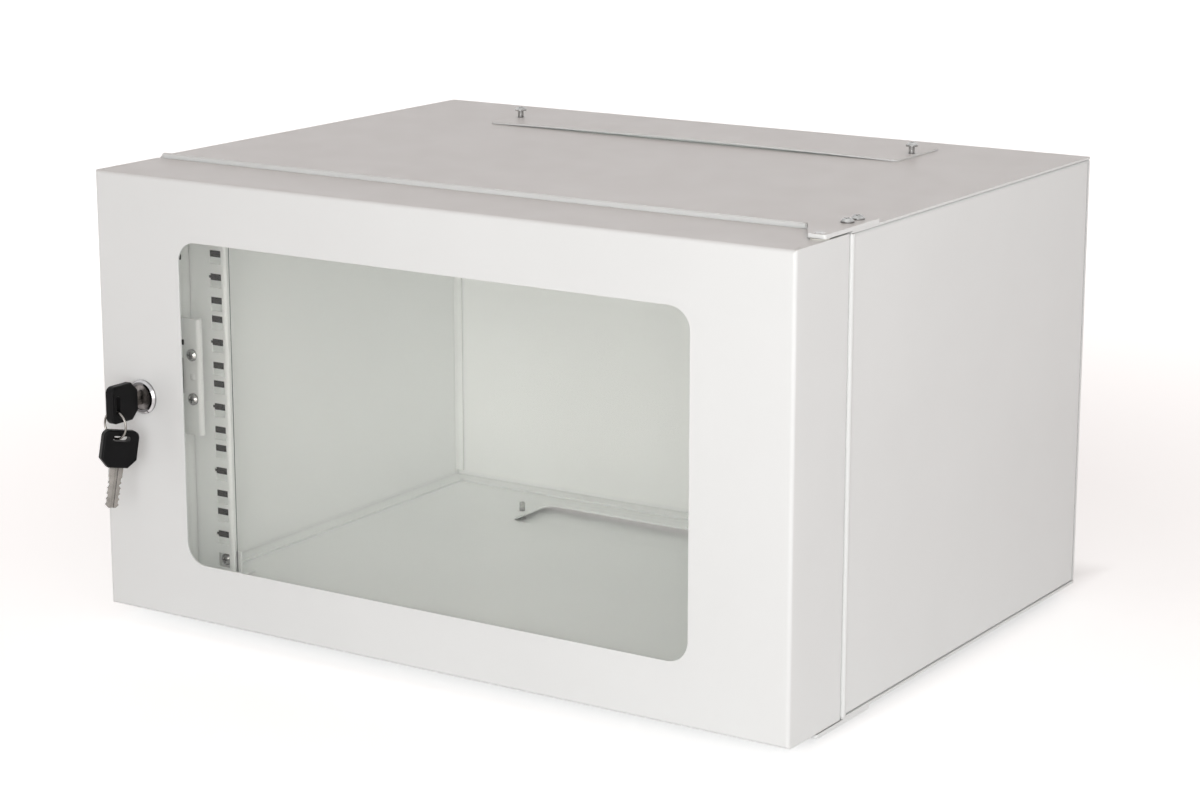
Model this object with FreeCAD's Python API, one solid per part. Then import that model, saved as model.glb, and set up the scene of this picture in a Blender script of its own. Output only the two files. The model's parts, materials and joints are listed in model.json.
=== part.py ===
import FreeCAD, Part
import math
import os

from FreeCAD import Vector

os.makedirs("parts", exist_ok=True)

# Wall-mounted 19-inch network cabinet, 6 rack units high, with a framed glass door.
# Millimetres. The origin is midway between the two wall keyholes, on the face that
# meets the wall. +X is to the viewer's right, +Y points into the wall, +Z is up.

# ---- overall sizes ----
WIDTH = 514.0
DEPTH = 392.0
DOOR_DEPTH = 61.0
DOOR_GAP = 1.8

# ---- sheet metal ----
SHEET = 1.5
BEND = 2.5
FLANGE = 14.5
REAR_FLANGE = 8.0
ROOF_LIP = 11.5
FLOOR_LIP = 5.5
WELD_GAP = 0.3
SIDE_WELDS = (-263.0, -257.0, -129.0)
REAR_WELDS = (-131.8, -105.0, 60.0, 150.0)
SPOT_WELD_R = 2.0
SPOT_WELD_RISE = 0.5
SPOT_WELD_INSET = 3.0
DOOR_SHEET = 1.2
DOOR_BEND = 2.4
CORNER_SLIT = 0.5
CORNER_SLIT_LENGTH = 7.0

# ---- wall fixing ----
KEYHOLE_DROP = 41.4
KEYHOLE_SPACING = 400.0
KEYHOLE_R = 6.0
KEYHOLE_SLOT = 7.0
KEYHOLE_RISE = 11.0

# ---- 19-inch rails ----
RACK_UNITS = 6
UNIT = 44.45
FIRST_UNIT_RISE = 6.3
LAST_UNIT_DROP = 18.4
UNIT_HOLES = (6.35, 22.225, 38.1)
HOLE_COLUMN_INSET = 24.45
SQUARE_HOLE = 9.5
RAIL_SETBACK = 24.9
RAIL_EDGE_INSET = 8.05
RAIL_SHEET = 1.5
RAIL_BEND = 2.0
RAIL_BOX_DEPTH = 4.5
RAIL_BACK_LIP = 17.0
RAIL_SIDE_GAP = 0.3
RAIL_END_GAP = 1.5
UNIT_MARK_R = 1.1
UNIT_MARK_OFFSET = 5.3
RAIL_TAB_WIDTH = 22.0
RAIL_TAB_HEIGHT = 17.5
RAIL_TAB_FOOT = 14.0

# ---- cable entries, top and bottom ----
ENTRY_WIDTH = 299.0
ENTRY_DEPTH = 52.0
ENTRY_CORNER = 10.0
ENTRY_FROM_WALL = 58.0
COVER_END_LAP = 11.5
COVER_SIDE_LAP = 5.5
COVER_SHEET = 1.2
COVER_CORNER = 4.0
COVER_BOW = 1.5
COVER_LIFT = 4.5
COVER_SCREW_FROM_ENTRY = 6.5
COVER_SCREW_LENGTH = 14.0
COVER_REST_GAP = 0.05
COVER_STOP_GAP = 0.3

# ---- door ----
DOOR_CLEARANCE = 1.0
DOOR_STILE = 67.8
DOOR_HEAD = 39.6
DOOR_FOOT = 38.6
WINDOW_CORNER = 14.0
GLASS_THICKNESS = 4.0
GLASS_OVERLAP = 10.0
GLASS_CORNER = 6.0
TAPE_THICKNESS = 0.8
TAPE_WIDTH = 8.0
TAPE_INSET = 1.0

# ---- hinges ----
HINGE_INSET = 6.3
HINGE_SETBACK = 38.0
HINGE_PIN_R = 3.0
HINGE_PIN_REACH = 10.0
PIN_CLEARANCE = 0.05
BUSH_WALL = 1.5
BUSH_LENGTH = 6.0
BUSH_FLANGE = 0.7
BUSH_FLANGE_R = 5.6
BUSH_FIT = 0.02
BRACKET_SHEET = 2.5
BRACKET_FRONT = 5.0
BRACKET_REAR = 35.2
BRACKET_WIDTH = 28.0
BRACKET_NOSE = 11.5
BRACKET_SHOULDER = 30.0
BRACKET_CORNER = 1.5
HINGE_SCREW_INSET = 9.0
HINGE_SCREW_SETBACK = 12.2
HINGE_SCREW_SPACING = 12.5
HINGE_SCREW_LENGTH = 6.5

# ---- M4 screws ----
SCREW_R = 2.0
SCREW_CLEARANCE = 0.3
THREAD_FIT = 0.03
HEAD_R = 4.0
HEAD_RISE = 2.4
HEAD_WALL = 1.0
HEAD_TOP_R = 2.5
CROSS_LENGTH = 4.4
CROSS_WIDTH = 0.9
CROSS_DEPTH = 1.2

# ---- rail fixing screws, M5 ----
RAIL_SCREW_R = 2.5
RAIL_SCREW_LENGTH = 9.0
RAIL_NUT_AF = 8.0
RAIL_NUT_HEIGHT = 3.8

# ---- cam lock ----
LOCK_FROM_STILE_MIDDLE = 0.5
BEZEL_R = 11.2
BEZEL_RISE = 2.6
BEZEL_BEVEL = 1.3
BARREL_R = 9.4
BARREL_LENGTH = 22.0
BARREL_HOLE_CLEARANCE = 0.1
LOCK_NUT_AF = 22.0
LOCK_NUT_HEIGHT = 3.0
PLUG_R = 8.2
PLUG_CLEARANCE = 0.05
PLUG_RECESS = 0.6
PLUG_TAIL = 7.0
KEYWAY_END_WALL = 2.5
CAM_SHEET = 2.0
CAM_WIDTH = 7.2
CAM_END_GAP = 3.0
CAM_HUB_R = 7.0
CAM_FIT = 0.03
CAM_SCREW_LENGTH = 4.2

# ---- strike bracket and catch ----
STRIKE_HEIGHT = 79.0
STRIKE_OUTER = 7.0
STRIKE_INNER = 30.7
STRIKE_ARM_GAP = 0.3
STRIKE_LIP = 3.8
STRIKE_SCREW_SPACING = 30.0
STRIKE_SCREW_X = 24.7
DIMPLE_R = 2.4
DIMPLE_RISE = 0.8
CATCH_HEIGHT = 60.0
CATCH_ARM_HEIGHT = 24.0
CATCH_CAM_GAP = 0.8
CATCH_BARREL_GAP = 1.2

# ---- keys ----
BOW_SIZE = 24.5
BOW_THICKNESS = 6.4
BOW_CORNER = 4.5
BOW_SHOULDER = 5.5
BOW_EDGE = 1.4
BOW_STANDOFF = 8.0
BOW_SLOT_LENGTH = 12.0
BOW_SLOT_WIDTH = 3.5
BOW_SLOT_FROM_END = 3.6
BLADE_WIDTH = 8.8
BLADE_THICKNESS = 2.0
BLADE_IN_BOW = 9.0
BLADE_TIP_GAP = 1.0
BLADE_CLEARANCE = 0.12
BLADE_GROOVE = 0.5
BLADE_GROOVE_WIDTH = 2.2
CUT_DEPTHS = (0.7, 1.3, 0.6, 1.1, 0.8)
CUT_PITCH = 3.6
TIP_TAPER = 2.0
RING_MEAN_R = 8.9
RING_WIRE_R = 0.75
RING_GAP = 0.25
SPARE_TURN = 65.0
SPARE_SWING = 20.0
STEEL_DENSITY = 7.85
PLASTIC_DENSITY = 1.2

# ---- places that follow from the sizes ----
HALF = WIDTH / 2
HEIGHT = FIRST_UNIT_RISE + RACK_UNITS * UNIT + LAST_UNIT_DROP
Z_TOP = KEYHOLE_DROP
Z_BOTTOM = Z_TOP - HEIGHT
Z_MID = (Z_TOP + Z_BOTTOM) / 2
Y_DOOR = -DEPTH
Y_DOOR_BACK = Y_DOOR + DOOR_DEPTH
Y_BODY = Y_DOOR_BACK + DOOR_GAP
Y_RAIL = Y_BODY + RAIL_SETBACK
ENTRY_Y = -ENTRY_FROM_WALL
HOLE_SPACING = WIDTH - 2 * HOLE_COLUMN_INSET
COVER_WIDTH = ENTRY_WIDTH + 2 * COVER_END_LAP
COVER_DEPTH = ENTRY_DEPTH + 2 * COVER_SIDE_LAP
WINDOW_WIDTH = WIDTH - 2 * DOOR_STILE
WINDOW_TOP = Z_TOP - DOOR_CLEARANCE - DOOR_HEAD
WINDOW_BOTTOM = Z_BOTTOM + DOOR_CLEARANCE + DOOR_FOOT
WINDOW_HEIGHT = WINDOW_TOP - WINDOW_BOTTOM
WINDOW_MID = (WINDOW_TOP + WINDOW_BOTTOM) / 2
LOCK_X = -(HALF - DOOR_STILE / 2 - LOCK_FROM_STILE_MIDDLE)
CATCH_ARM_INSET = FLANGE + STRIKE_ARM_GAP
CATCH_HOOK = HALF - CATCH_ARM_INSET + LOCK_X - BARREL_R - CATCH_BARREL_GAP
CAM_REACH = HALF - CATCH_ARM_INSET - CAM_END_GAP + LOCK_X
PLUG_FACE = PLUG_RECESS - BEZEL_RISE
KEYWAY_END = BARREL_LENGTH - KEYWAY_END_WALL
BLADE_LENGTH = BOW_STANDOFF + KEYWAY_END - BLADE_TIP_GAP
HINGE_X = HALF - HINGE_INSET
HINGE_Y = Y_DOOR + HINGE_SETBACK
FAR = 2 * (WIDTH + HEIGHT + DEPTH)

X_AXIS = Vector(1, 0, 0)
Y_AXIS = Vector(0, 1, 0)
Z_AXIS = Vector(0, 0, 1)
MIDDLE = Vector(0, 0, Z_MID)


def box(x0, x1, y0, y1, z0, z1):
    """A box between two corners, given as low and high along each axis."""
    return Part.makeBox(x1 - x0, y1 - y0, z1 - z0, Vector(x0, y0, z0))


def block_about(start, width, depth, height):
    """A box centred on a point in X and Y, rising from it."""
    return Part.makeBox(width, depth, height, start - Vector(width / 2, depth / 2, 0))


def bar_along_y(start, side_x, side_z, length):
    """A rectangular bar centred on a point in X and Z, running back from it."""
    return Part.makeBox(side_x, length, side_z, start - Vector(side_x / 2, 0, side_z / 2))


def rod(radius, start, length, axis):
    """A cylinder that starts at a point and runs along an axis."""
    return Part.makeCylinder(radius, length, start, axis)


def outline_solid(points, sweep):
    """A flat polygon pushed along a vector."""
    corners = [Vector(*point) for point in points]
    return Part.Face(Part.makePolygon(corners + corners[:1])).extrude(sweep)


def round_edges(shape, radius, wanted):
    """Fillets the edges whose middle point passes the test."""
    edges = [edge for edge in shape.Edges if wanted(edge.CenterOfMass, edge)]
    return shape.makeFillet(radius, edges)


def bevel_end(turned, size, level):
    """Bevels the rim of an upright round bar's end."""
    return turned.makeChamfer(size, [edge for edge in turned.Edges if near(edge.CenterOfMass.z, level)])


def along(edge, axis):
    """Whether a straight edge runs along an axis."""
    ends = [vertex.Point for vertex in edge.Vertexes]
    return len(ends) == 2 and ends[1].sub(ends[0]).cross(axis).Length < 1e-6


def near(a, b):
    return abs(a - b) < 1e-3


def rounded_plate(width, height, corner, thickness):
    """A plate with round corners in the XY plane, centred, its low face at z = 0."""
    plate = box(-width / 2, width / 2, -height / 2, height / 2, 0, thickness)
    return round_edges(plate, corner, lambda middle, edge: along(edge, Z_AXIS))


def prism_across_flats(across, height, start, axis):
    """A hexagonal prism that starts at a point and runs along an axis."""
    radius = across / math.sqrt(3)
    turns = [math.radians(60 * k) for k in range(6)]
    points = [(radius * math.cos(a), radius * math.sin(a), 0) for a in turns]
    prism = outline_solid(points, Vector(0, 0, height))
    prism.Placement = FreeCAD.Placement(start, FreeCAD.Rotation(Z_AXIS, axis))
    return prism


def pan_screw(seat, axis, shank_r, length):
    """A pan-head screw with a cross recess. Its head seats at a point, and it points along axis."""
    crown = Part.makeCone(HEAD_R, HEAD_TOP_R, HEAD_RISE - HEAD_WALL, Vector(0, 0, HEAD_WALL))
    head = rod(HEAD_R, Vector(), HEAD_WALL, Z_AXIS).fuse(crown)
    arm = block_about(Vector(0, 0, HEAD_RISE - CROSS_DEPTH), CROSS_LENGTH, CROSS_WIDTH, CROSS_DEPTH)
    cross = arm.fuse(arm.rotated(Vector(), Z_AXIS, 90))
    shank = rod(shank_r, Vector(0, 0, -length), length, Z_AXIS)
    shank = bevel_end(shank, 0.4, -length)
    screw = head.cut(cross).fuse(shank)
    screw.Placement = FreeCAD.Placement(seat, FreeCAD.Rotation(Z_AXIS, axis * -1))
    return screw


def mirror_lr(shape):
    return shape.mirror(Vector(), X_AXIS)


def mirror_ud(shape):
    return shape.mirror(MIDDLE, Z_AXIS)


def group(solids):
    return Part.makeCompound(solids)


# ---- cabinet body ----
def flange_levels():
    """Low and high faces of the two levels where the walls are folded under the roof and over the floor."""
    low, high = Z_BOTTOM + SHEET, Z_TOP - SHEET
    return [(low, low + SHEET), (high - SHEET, high)]


def mitre(beside):
    """Wedges that cut the right rear corner of both flange levels on the diagonal."""
    reach = FLANGE + SHEET
    gap = WELD_GAP / 2
    wedges = []
    for low, high in flange_levels():
        if beside == "side":
            corners = [(HALF - SHEET, -SHEET), (HALF - reach + gap, -reach), (HALF - reach + gap, -SHEET)]
        else:
            corners = [(HALF + SHEET, -SHEET), (HALF + SHEET, -reach)]
            corners += [(HALF - reach - gap, -reach), (HALF - SHEET - gap, -SHEET)]
        points = [(x, y, low) for x, y in corners]
        wedges.append(outline_solid(points, Z_AXIS * (high - low)))
    return group(wedges)


def side_panel():
    """The right-hand side: a web with flanges turned inwards on all four edges."""
    low, high = Z_BOTTOM + SHEET, Z_TOP - SHEET
    inner_x = HALF - FLANGE
    block = box(inner_x, HALF, Y_BODY, -SHEET, low, high)
    block = round_edges(block, BEND, lambda middle, edge: near(middle.x, HALF))
    hollow = box(inner_x - SHEET, HALF - SHEET, Y_BODY + SHEET, -2 * SHEET, low + SHEET, high - SHEET)
    hollow = round_edges(hollow, BEND - SHEET, lambda middle, edge: near(middle.x, HALF - SHEET))
    panel = block.cut(hollow)
    trim = box(inner_x - SHEET, HALF - REAR_FLANGE, -2 * SHEET, 0, low + SHEET, high - SHEET)
    panel = panel.cut(trim).cut(mitre("side"))
    for z0, z1 in ((low, low + 2 * BEND), (high - 2 * BEND, high)):
        panel = panel.cut(box(inner_x, HALF - BEND, -2 * SHEET, -SHEET, z0, z1))
    for upright in (1, -1):
        panel = panel.cut(group([hinge_screw_hole(spot, upright) for spot in hinge_screw_spots()]))
    welds = [weld_dot(Vector(inner_x + SPOT_WELD_INSET, y, low + SHEET)) for y in SIDE_WELDS]
    return panel.fuse(group(welds))


def rear_panel():
    """The wall side, with flanges along the floor and the roof and two keyholes."""
    low, high = Z_BOTTOM + SHEET, Z_TOP - SHEET
    block = box(-HALF, HALF, -FLANGE, 0, low, high)
    folds = lambda middle, edge: near(middle.y, 0) and along(edge, X_AXIS)
    block = round_edges(block, BEND, folds)
    hollow = box(-FAR, FAR, -FAR, -SHEET, low + SHEET, high - SHEET)
    inner_folds = lambda middle, edge: near(middle.y, -SHEET) and along(edge, X_AXIS)
    panel = block.cut(round_edges(hollow, BEND - SHEET, inner_folds))
    panel = panel.cut(mitre("rear")).cut(mirror_lr(mitre("rear")))
    beside = box(HALF - REAR_FLANGE - WELD_GAP, FAR, -FAR, -SHEET, low + SHEET, high - SHEET)
    panel = panel.cut(beside).cut(mirror_lr(beside))
    for x in (-KEYHOLE_SPACING / 2, KEYHOLE_SPACING / 2):
        entry = rod(KEYHOLE_R, Vector(x, -2 * SHEET, 0), 3 * SHEET, Y_AXIS)
        slot = box(x - KEYHOLE_SLOT / 2, x + KEYHOLE_SLOT / 2, -2 * SHEET, SHEET, 0, KEYHOLE_RISE)
        end = rod(KEYHOLE_SLOT / 2, Vector(x, -2 * SHEET, KEYHOLE_RISE), 3 * SHEET, Y_AXIS)
        panel = panel.cut(entry.fuse(slot).fuse(end))
    welds = [weld_dot(Vector(x, SPOT_WELD_INSET - FLANGE, low + SHEET)) for x in REAR_WELDS]
    return panel.fuse(group(welds))


def weld_dot(spot):
    """A small bead where a floor flange is welded down."""
    return Part.makeCone(SPOT_WELD_R, SPOT_WELD_R / 2, SPOT_WELD_RISE, spot)


def entry_cutter():
    cutter = rounded_plate(ENTRY_WIDTH, ENTRY_DEPTH, ENTRY_CORNER, 4 * SHEET)
    return cutter.translated(Vector(0, ENTRY_Y, Z_TOP - 2 * SHEET))


def cover_screw_spots():
    x = ENTRY_WIDTH / 2 + COVER_SCREW_FROM_ENTRY
    return [Vector(-x, ENTRY_Y, Z_TOP), Vector(x, ENTRY_Y, Z_TOP)]


def lipped_panel(lip):
    """The roof, drawn at the top: flat, with a lip turned in at the front and the rear cable entry."""
    block = box(-HALF, HALF, Y_BODY, 0, Z_TOP - lip, Z_TOP)
    block = round_edges(block, BEND, lambda middle, edge: near(middle.y, Y_BODY) and near(middle.z, Z_TOP))
    hollow = box(-FAR, FAR, Y_BODY + SHEET, FAR, Z_TOP - FAR, Z_TOP - SHEET)
    inner = lambda middle, edge: near(middle.y, Y_BODY + SHEET) and near(middle.z, Z_TOP - SHEET)
    panel = block.cut(round_edges(hollow, BEND - SHEET, inner))
    lip_end = HALF - FLANGE - WELD_GAP
    ends = box(lip_end, FAR, -FAR, FAR, Z_TOP - FAR, Z_TOP - SHEET)
    panel = panel.cut(ends).cut(mirror_lr(ends)).cut(entry_cutter())
    hole_r = SCREW_R + THREAD_FIT
    for spot in cover_screw_spots():
        panel = panel.cut(rod(hole_r, spot - Z_AXIS * (2 * SHEET), 4 * SHEET, Z_AXIS))
    return panel.cut(group([hinge_screw_hole(spot, 1) for spot in hinge_screw_spots()]))


# ---- 19-inch rails ----
def unit_heights():
    """Heights of the square holes, from the lowest up."""
    base = Z_BOTTOM + FIRST_UNIT_RISE
    return [base + UNIT * u + h for u in range(RACK_UNITS) for h in UNIT_HOLES]


def rail():
    """The right-hand rail: a strip with a hemmed edge, boxed at its ends where its tabs hold it.

    It has a square hole at each rack position and a round one for a driver.
    """
    low, high = Z_BOTTOM + 2 * SHEET + RAIL_END_GAP, Z_TOP - 2 * SHEET - RAIL_END_GAP
    inner_x, outer_x = HOLE_SPACING / 2 - RAIL_EDGE_INSET, HALF - SHEET - RAIL_SIDE_GAP
    block = box(inner_x, outer_x, Y_RAIL, Y_RAIL + RAIL_BOX_DEPTH, low, high)
    outer = lambda middle, edge: near(middle.x, inner_x) and along(edge, Z_AXIS)
    block = round_edges(block, RAIL_BEND, outer)
    y0, y1 = Y_RAIL + RAIL_SHEET, Y_RAIL + RAIL_BOX_DEPTH - RAIL_SHEET
    hollow = box(inner_x + RAIL_SHEET, FAR, y0, y1, -FAR, FAR)
    inner = lambda middle, edge: near(middle.x, inner_x + RAIL_SHEET) and along(edge, Z_AXIS)
    profile = block.cut(round_edges(hollow, RAIL_BEND - RAIL_SHEET, inner))
    profile = profile.cut(box(inner_x + RAIL_BACK_LIP, FAR, Y_RAIL + RAIL_SHEET, FAR, -FAR, FAR))
    tab_top = Z_BOTTOM + SHEET + RAIL_TAB_HEIGHT
    profile = profile.cut(box(inner_x + RAIL_BEND, FAR, y0, FAR, tab_top, 2 * Z_MID - tab_top))
    hole_x = HOLE_SPACING / 2
    in_front = Y_RAIL - RAIL_SHEET
    for index, z in enumerate(unit_heights()):
        start = Vector(hole_x, in_front, z)
        profile = profile.cut(bar_along_y(start, SQUARE_HOLE, SQUARE_HOLE, 2.5 * RAIL_SHEET))
        if index % len(UNIT_HOLES) == 1:
            mark = Vector(hole_x + UNIT_MARK_OFFSET, in_front, z + SQUARE_HOLE / 4)
            profile = profile.cut(rod(UNIT_MARK_R, mark, 2.5 * RAIL_SHEET, Y_AXIS))
    driver = Vector(hole_x, in_front, rail_screw_heights()[1])
    profile = profile.cut(rod(SQUARE_HOLE / 2, driver, 2.5 * RAIL_SHEET, Y_AXIS))
    shank = group([rail_screw_hole(z) for z in rail_screw_heights()])
    return profile.cut(shank)


def rail_screw_heights():
    """Behind the lowest square hole, and as far below the roof as that is above the floor."""
    lowest = unit_heights()[0]
    return [lowest, 2 * Z_MID - lowest]


def rail_screw_hole(z):
    start = Vector(HOLE_SPACING / 2, Y_RAIL + RAIL_SHEET + SHEET, z)
    return rod(RAIL_SCREW_R + SCREW_CLEARANCE, start, RAIL_BOX_DEPTH + RAIL_TAB_FOOT, Y_AXIS)


def rail_tab():
    """The lower right angle that carries a rail: a foot on the floor and an upright tab."""
    floor = Z_BOTTOM + SHEET
    y0 = Y_RAIL + RAIL_BOX_DEPTH
    x0 = HOLE_SPACING / 2 - RAIL_TAB_WIDTH / 2
    x1 = min(x0 + RAIL_TAB_WIDTH, HALF - FLANGE - WELD_GAP)
    block = box(x0, x1, y0, y0 + RAIL_TAB_FOOT, floor, floor + RAIL_TAB_HEIGHT)
    corner = lambda middle, edge: near(middle.y, y0) and near(middle.z, floor)
    block = round_edges(block, BEND, corner)
    hollow = box(-FAR, FAR, y0 + SHEET, FAR, floor + SHEET, FAR)
    bend = lambda middle, edge: near(middle.y, y0 + SHEET) and near(middle.z, floor + SHEET)
    tab = block.cut(round_edges(hollow, BEND - SHEET, bend))
    return tab.cut(rail_screw_hole(rail_screw_heights()[0]))


def rail_screw():
    seat = Vector(HOLE_SPACING / 2, Y_RAIL + RAIL_BOX_DEPTH - RAIL_SHEET, rail_screw_heights()[0])
    return pan_screw(seat, Y_AXIS, RAIL_SCREW_R, RAIL_SCREW_LENGTH)


def rail_nut():
    start = Vector(HOLE_SPACING / 2, Y_RAIL + RAIL_BOX_DEPTH + SHEET, rail_screw_heights()[0])
    nut = prism_across_flats(RAIL_NUT_AF, RAIL_NUT_HEIGHT, start, Y_AXIS)
    return nut.cut(rod(RAIL_SCREW_R + THREAD_FIT, start, RAIL_NUT_HEIGHT, Y_AXIS))


def four_ways(shape):
    """A shape with its copies on the other side, the other end and both."""
    pair = [shape, mirror_lr(shape)]
    return group(pair + [mirror_ud(one) for one in pair])


# ---- cable covers ----
def cover_strip(lift, thickness):
    """The bowed strip that a cover is cut from, raised above the roof by lift."""
    rise = COVER_BOW + lift
    start = Vector(-COVER_WIDTH / 2, 0, lift)
    crown = Vector(0, 0, rise)
    end = Vector(COVER_WIDTH / 2, 0, lift)
    up = Z_AXIS * thickness
    lower = Part.Arc(start, crown, end).toShape()
    upper = Part.Arc(end + up, crown + up, start + up).toShape()
    wall_a = Part.makeLine(end, end + up)
    wall_b = Part.makeLine(start + up, start)
    profile = Part.Face(Part.Wire([lower, wall_a, upper, wall_b]))
    strip = profile.extrude(Y_AXIS * COVER_DEPTH)
    return strip.translated(Vector(0, ENTRY_Y - COVER_DEPTH / 2, Z_TOP))


def cable_cover():
    """The top cover, lying on the roof, with two plain holes for its screws."""
    plate = cover_strip(COVER_REST_GAP, COVER_SHEET)
    plate = round_edges(plate, COVER_CORNER, lambda middle, edge: along(edge, Z_AXIS))
    for spot in cover_screw_spots():
        plate = plate.cut(rod(SCREW_R + 2 * SCREW_CLEARANCE, spot, 3 * COVER_SHEET, Z_AXIS))
    return plate


def cover_screws():
    """Two screws left backed out, so that the cover can be lifted over a cable."""
    seat_rise = Z_AXIS * (COVER_SHEET + COVER_LIFT + COVER_STOP_GAP)
    seats = [spot + seat_rise for spot in cover_screw_spots()]
    return group([pan_screw(seat, Z_AXIS * -1, SCREW_R, COVER_SCREW_LENGTH) for seat in seats])


# ---- hinges ----
def hinge_screw_spots():
    x = HALF - HINGE_SCREW_INSET
    y = Y_BODY + HINGE_SCREW_SETBACK
    return [Vector(x, y + HINGE_SCREW_SPACING * k, Z_TOP) for k in (0, 1)]


def hinge_screw_hole(spot, upright):
    """A screw hole through the roof, or through the floor where upright is -1."""
    hole = rod(SCREW_R + THREAD_FIT, spot - Z_AXIS * (4 * SHEET), 8 * SHEET, Z_AXIS)
    return hole if upright == 1 else mirror_ud(hole)


def hinge_bracket():
    """The top hinge plate: wide on the roof, with one slanting side down to a nose over the door."""
    right = HALF
    front = HINGE_Y - BRACKET_FRONT
    rear = Y_BODY + BRACKET_REAR
    shoulder = front + BRACKET_SHOULDER
    points = [
        (right, front, Z_TOP),
        (right, rear, Z_TOP),
        (right - BRACKET_WIDTH, rear, Z_TOP),
        (right - BRACKET_WIDTH, shoulder, Z_TOP),
        (right - BRACKET_NOSE, front, Z_TOP),
    ]
    plate = outline_solid(points, Z_AXIS * BRACKET_SHEET)
    plate = round_edges(plate, BRACKET_CORNER, lambda middle, edge: along(edge, Z_AXIS))
    plate = plate.cut(rod(HINGE_PIN_R, Vector(HINGE_X, HINGE_Y, Z_TOP), BRACKET_SHEET, Z_AXIS))
    for spot in hinge_screw_spots():
        plate = plate.cut(rod(SCREW_R + SCREW_CLEARANCE, spot, BRACKET_SHEET, Z_AXIS))
    return plate


def hinge_screws():
    seats = [spot + Z_AXIS * BRACKET_SHEET for spot in hinge_screw_spots()]
    return group([pan_screw(seat, Z_AXIS * -1, SCREW_R, HINGE_SCREW_LENGTH) for seat in seats])


def hinge_pin():
    """The top pin, pressed into its bracket and hanging down into the door."""
    start = Vector(HINGE_X, HINGE_Y, Z_TOP - HINGE_PIN_REACH)
    pin = rod(HINGE_PIN_R, start, HINGE_PIN_REACH + BRACKET_SHEET, Z_AXIS)
    return bevel_end(pin, 0.8, Z_TOP - HINGE_PIN_REACH)


def hinge_bush():
    """The flanged plastic bush that lines the door's top pin hole."""
    door_top = Z_TOP - DOOR_CLEARANCE
    low = Vector(HINGE_X, HINGE_Y, door_top - BUSH_LENGTH)
    bore_r = HINGE_PIN_R + PIN_CLEARANCE
    sleeve = rod(bore_r + BUSH_WALL, low, BUSH_LENGTH, Z_AXIS)
    flange = rod(BUSH_FLANGE_R, Vector(HINGE_X, HINGE_Y, door_top), BUSH_FLANGE, Z_AXIS)
    return sleeve.fuse(flange).cut(rod(bore_r, low, BUSH_LENGTH + BUSH_FLANGE, Z_AXIS))


# ---- door ----
def window_place():
    """Turns a plate drawn flat in XY to stand in the door's plane, about the window's centre."""
    turn = FreeCAD.Rotation(X_AXIS, 90)
    return FreeCAD.Placement(Vector(0, Y_DOOR, WINDOW_MID), turn)


def standing_plate(width, height, corner, back, thickness):
    """A rounded plate that stands upright, from back behind the door's front face."""
    plate = rounded_plate(width, height, corner, thickness)
    plate.Placement = window_place()
    return plate.translated(Y_AXIS * (back + thickness))


def door_frame():
    """A folded pan, open at the back, with the window, lock and hinge holes."""
    low, high = Z_BOTTOM + DOOR_CLEARANCE, Z_TOP - DOOR_CLEARANCE
    block = box(-HALF, HALF, Y_DOOR, Y_DOOR_BACK, low, high)
    front = lambda middle, edge: near(middle.y, Y_DOOR)
    block = round_edges(block, DOOR_BEND, front)
    t = DOOR_SHEET
    hollow = box(-HALF + t, HALF - t, Y_DOOR + t, FAR, low + t, high - t)
    inner = lambda middle, edge: near(middle.y, Y_DOOR + t)
    pan = block.cut(round_edges(hollow, DOOR_BEND - t, inner))
    pan = pan.cut(standing_plate(WINDOW_WIDTH, WINDOW_HEIGHT, WINDOW_CORNER, -t, 3 * t))
    barrel = rod(BARREL_R + BARREL_HOLE_CLEARANCE, Vector(LOCK_X, Y_DOOR - t, Z_MID), 3 * t, Y_AXIS)
    pan = pan.cut(barrel)
    bush_r = HINGE_PIN_R + PIN_CLEARANCE + BUSH_WALL + BUSH_FIT
    pan = pan.cut(rod(bush_r, Vector(HINGE_X, HINGE_Y, -FAR), 2 * FAR, Z_AXIS))
    x1 = HALF - DOOR_BEND
    y0 = Y_DOOR + DOOR_BEND
    slit = box(x1 - CORNER_SLIT, x1, y0, y0 + CORNER_SLIT_LENGTH, high - 2 * t, high)
    slits = [slit, mirror_lr(slit)]
    slits = slits + [mirror_ud(one) for one in slits]
    return pan.cut(group(slits))


def door_glass():
    width = WINDOW_WIDTH + 2 * GLASS_OVERLAP
    height = WINDOW_HEIGHT + 2 * GLASS_OVERLAP
    back = DOOR_SHEET + TAPE_THICKNESS
    return standing_plate(width, height, GLASS_CORNER, back, GLASS_THICKNESS)


def glass_tape():
    """Four strips of double-sided tape between the door sheet and the glass."""
    half_w = WINDOW_WIDTH / 2 + GLASS_OVERLAP
    half_h = WINDOW_HEIGHT / 2 + GLASS_OVERLAP
    y0 = Y_DOOR + DOOR_SHEET
    y1 = y0 + TAPE_THICKNESS
    centre = WINDOW_MID
    low, high = centre - half_h + TAPE_INSET, centre + half_h - TAPE_INSET
    inner = half_w - TAPE_WIDTH
    upright = box(inner, half_w - TAPE_INSET, y0, y1, low, high)
    level = box(-inner, inner, y0, y1, centre + half_h - TAPE_WIDTH, high)
    lower = level.mirror(Vector(0, 0, centre), Z_AXIS)
    return group([upright, mirror_lr(upright), level, lower])


# ---- lock ----
def on_lock_axis(setback):
    """A point on the lock's axis, a distance behind the door's front face."""
    return Vector(LOCK_X, Y_DOOR + setback, Z_MID)


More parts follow.
